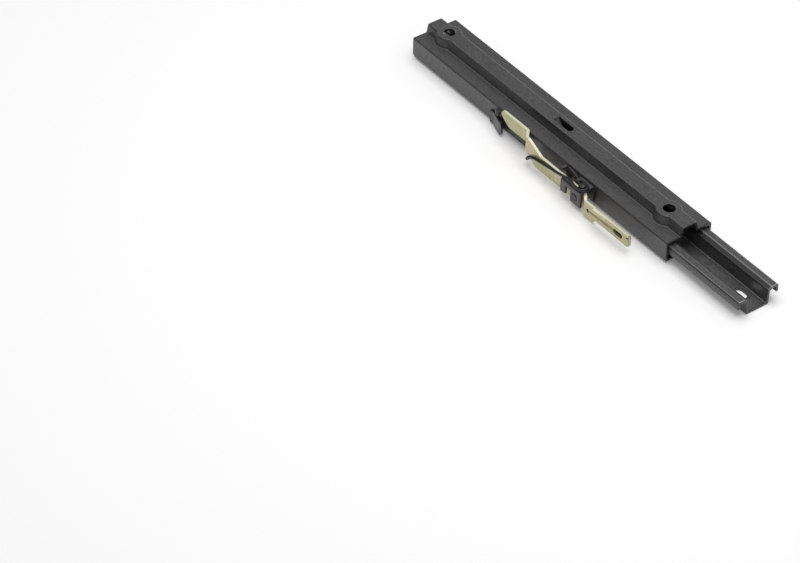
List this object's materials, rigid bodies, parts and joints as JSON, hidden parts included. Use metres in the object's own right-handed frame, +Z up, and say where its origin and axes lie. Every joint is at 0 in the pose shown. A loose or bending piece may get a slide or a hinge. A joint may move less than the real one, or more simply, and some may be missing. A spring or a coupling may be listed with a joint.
{
  "type": "seat slide rail",
  "caption": "Car seat slide: a black folded upper rail with a raised centre running on balls over a lower rail, with a yellow zinc release lever, toothed lock and hairpin spring on one side.",
  "frame": {"origin": "centre of the lower rail's length, on the underside of its floor", "axes": "+X forward along the rail, +Y away from the latch, +Z up"},
  "size_m": [0.427, 0.067, 0.0294],
  "materials": {
    "rail_paint": "satin",
    "bracket_paint": "satin",
    "yellow_zinc": "satin",
    "black_steel": "satin",
    "bright_steel": "polished",
    "acetal": "satin"
  },
  "bodies": {
    "lower": {"lower_rail": "rail_paint"},
    "upper": {"upper_rail": "rail_paint", "glide_rear_left": "acetal", "glide_rear_right": "acetal", "glide_front_left": "acetal", "glide_front_right": "acetal", "pivot_bracket": "bracket_paint", "pivot_pin": "black_steel", "pivot_bush": "bright_steel", "pivot_washer": "bright_steel", "bracket_rivet_rear": "bracket_paint", "bracket_rivet_front": "bracket_paint", "spring_post": "black_steel", "return_spring": "black_steel", "rear_guide": "bracket_paint", "guide_rivet": "bracket_paint"},
    "lever": {"release_lever": "yellow_zinc", "lock_plate": "black_steel"},
    "cage_left": {"ball_cage_left": "acetal", "ball_left_1": "bright_steel", "ball_left_2": "bright_steel", "ball_left_3": "bright_steel", "ball_left_4": "bright_steel", "ball_left_5": "bright_steel"},
    "cage_right": {"ball_cage_right": "acetal", "ball_right_1": "bright_steel", "ball_right_2": "bright_steel", "ball_right_3": "bright_steel", "ball_right_4": "bright_steel", "ball_right_5": "bright_steel"}
  },
  "joints": [
    {"name": "rail_slide", "type": "slide", "parent": "lower", "child": "upper", "axis": [1, 0, 0], "range_m": [-0.02, 0.13]},
    {"name": "latch_turn", "type": "hinge", "parent": "upper", "child": "lever", "pos_m": [0.0295, -0.0335, 0.011], "axis": [0, 1, 0], "range_deg": [0, 2.8], "stiffness_Nm_per_rad": 0.5, "springref_deg": 5.73, "deforming": ["return_spring"]},
    {"name": "cage_left_slide", "type": "slide", "parent": "lower", "child": "cage_left", "axis": [1, 0, 0], "range_m": [-0.01, 0.065]},
    {"name": "cage_right_slide", "type": "slide", "parent": "lower", "child": "cage_right", "axis": [1, 0, 0], "range_m": [-0.01, 0.065]}
  ],
  "couplings": [
    {"joint": "cage_left_slide", "follows": "rail_slide", "ratio": 0.5},
    {"joint": "cage_right_slide", "follows": "rail_slide", "ratio": 0.5}
  ]
}
